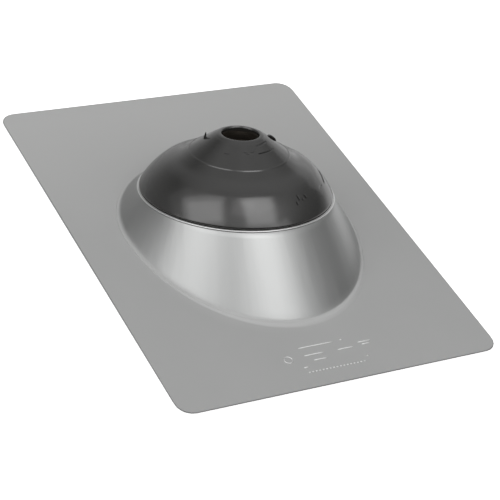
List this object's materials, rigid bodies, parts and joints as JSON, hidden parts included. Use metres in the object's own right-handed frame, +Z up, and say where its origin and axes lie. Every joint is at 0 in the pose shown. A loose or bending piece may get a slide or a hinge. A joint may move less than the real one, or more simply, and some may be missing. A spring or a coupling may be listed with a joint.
{
  "type": "pipe flashing boot",
  "caption": "Roof flashing boot: flat aluminium flange with a tilted drawn hood and a black moulded collar that seals round a vent pipe.",
  "frame": {"origin": "centre of the flange underside", "axes": "+X across the flange, +Y up the roof slope along the long side, +Z up off the roof"},
  "size_m": [0.286, 0.372, 0.0785],
  "materials": {
    "flashing_sheet": "matte coated sheet, satin on the hood",
    "collar_rubber": "satin black moulding"
  },
  "bodies": {
    "root": {"base_flashing": "flashing_sheet", "pipe_collar": "collar_rubber"}
  },
  "joints": []
}
